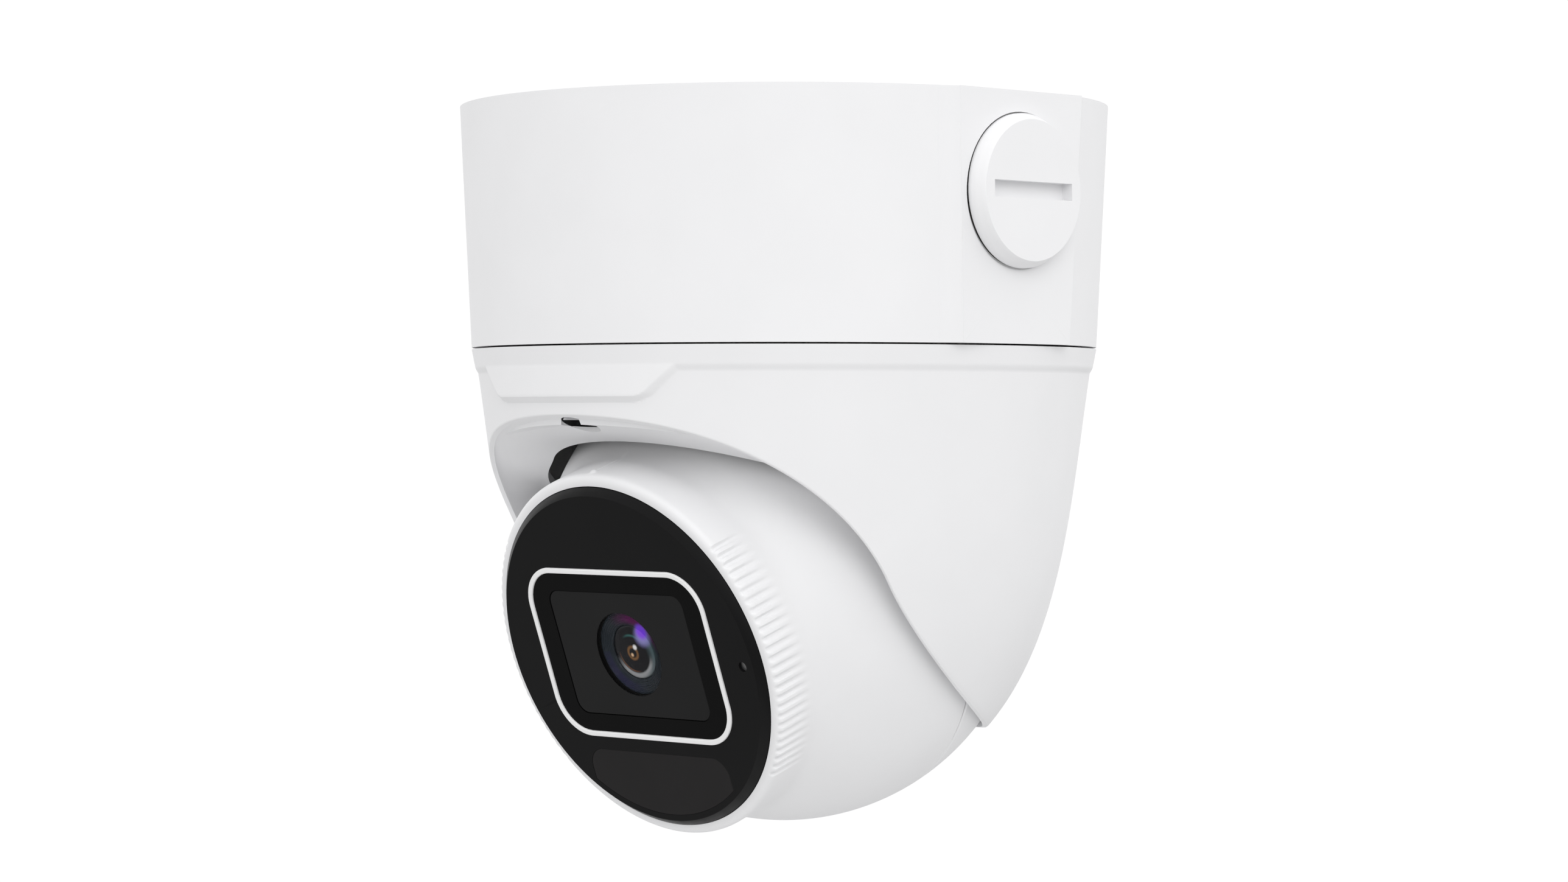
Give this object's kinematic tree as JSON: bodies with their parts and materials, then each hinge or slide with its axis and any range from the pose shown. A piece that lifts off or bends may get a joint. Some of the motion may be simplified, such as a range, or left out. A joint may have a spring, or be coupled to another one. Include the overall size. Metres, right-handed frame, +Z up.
{
  "type": "dome security camera",
  "caption": "Ceiling-mounted turret security camera: round conduit box, bell-shaped shell, and a ball with a black lens front that pans, tilts and rotates.",
  "frame": {"origin": "centre of the box's ceiling face, on the pan axis", "axes": "+Z points up into the ceiling, the lens looks along -Y and 20 degrees down, and the conduit entry faces +X"},
  "size_m": [0.1311, 0.129, 0.1423],
  "materials": {
    "white_coat": "satin powder coat",
    "plug_coat": "satin powder coat",
    "seal_rubber": "matte",
    "brass_plate": "plated",
    "raw_casting": "as cast",
    "screw_steel": "zinc plated",
    "slip_plastic": "smooth acetal",
    "black_plastic": "moulded, fine texture",
    "spring_steel": "oiled",
    "panel_black": "gloss",
    "trim_white": "satin",
    "window_glass": "coated, clear",
    "ir_plastic": "gloss, infrared passing",
    "mesh_steel": "woven",
    "can_metal": "tin plated",
    "foam_black": "closed-cell foam",
    "barrel_black": "black anodised",
    "lens_glass": "anti-reflection coated",
    "filter_glass": "coated",
    "coil_copper": "enamelled wire",
    "sensor_ceramic": "with cover glass",
    "board_green": "solder mask",
    "chip_black": "moulded epoxy",
    "pad_grey": "soft silicone",
    "raw_aluminium": "sheet",
    "socket_white": "moulded",
    "board_white": "white solder mask",
    "led_clear": "clear dome",
    "led_yellow": "phosphor",
    "cup_chrome": "mirror"
  },
  "bodies": {
    "box": {"junction_box": "white_coat", "box_gasket": "seal_rubber", "cable_grommet": "seal_rubber", "conduit_plug": "plug_coat", "plug_seal": "seal_rubber", "earth_screw": "brass_plate", "base_plate": "raw_casting", "base_screws": "screw_steel", "base_bush": "seal_rubber", "slip_washer": "slip_plastic"},
    "turret": {"turntable": "black_plastic", "pan_clip": "spring_steel", "shell": "white_coat", "ball_seat": "black_plastic", "seat_springs": "spring_steel", "seat_screws": "screw_steel"},
    "lock": {"lock_screw": "screw_steel"},
    "shoe": {"tilt_shoe": "slip_plastic"},
    "filter": {"cut_filter": "filter_glass"},
    "card": {"memory_card": "chip_black"},
    "reset": {"reset_button": "black_plastic"},
    "ball": {"ball_rear": "white_coat", "ball_front": "white_coat", "ball_seal": "seal_rubber", "ball_screws": "screw_steel", "tail_clip": "spring_steel", "tail_bush": "seal_rubber", "front_panel": "panel_black", "panel_seal": "seal_rubber", "trim_frame": "trim_white", "lens_window": "window_glass", "ir_window": "ir_plastic", "mic_mesh": "mesh_steel", "microphone": "can_metal", "light_baffle": "foam_black", "lens_barrel": "barrel_black", "front_lens": "lens_glass", "rear_lens": "lens_glass", "lens_holder": "black_plastic", "filter_frame": "black_plastic", "filter_coil": "coil_copper", "image_sensor": "sensor_ceramic", "sensor_board": "board_green", "board_spacers": "brass_plate", "board_screws": "screw_steel", "main_board": "board_green", "processor": "chip_black", "thermal_pad": "pad_grey", "heat_spreader": "raw_aluminium", "power_socket": "socket_white", "card_socket": "can_metal", "reset_switch": "can_metal", "led_board": "board_white", "led_screws": "screw_steel", "ir_leds": "led_clear", "white_led": "led_yellow", "led_cups": "cup_chrome"}
  },
  "joints": [
    {"name": "pan", "type": "hinge", "parent": "box", "child": "turret", "pos_m": [0, 0, -0.048], "axis": [0, 0, 1], "range_deg": [-180, 180]},
    {"name": "tilt", "type": "hinge", "parent": "turret", "child": "shoe", "pos_m": [0, 0, -0.09308], "axis": [1, 0, 0], "range_deg": [-4, 65]},
    {"name": "rotate", "type": "hinge", "parent": "shoe", "child": "ball", "pos_m": [0, 0, -0.09308], "axis": [0, -0.9397, -0.342], "range_deg": [-180, 180]},
    {"name": "lock_turn", "type": "hinge", "parent": "turret", "child": "lock", "pos_m": [0, -0.0545, -0.06], "axis": [0, 0, -1], "range_deg": [-180, 0]},
    {"name": "filter_shift", "type": "slide", "parent": "ball", "child": "filter", "axis": [1, 0, 0], "range_m": [0, 0.0072]},
    {"name": "card_pull", "type": "slide", "parent": "ball", "child": "card", "axis": [0, -0.342, 0.9397], "range_m": [0, 0.012]},
    {"name": "reset_press", "type": "slide", "parent": "ball", "child": "reset", "axis": [0, 0.9397, 0.342], "range_m": [0, 0.0003], "stiffness_N_per_m": 400, "springref_m": -0.0005}
  ]
}
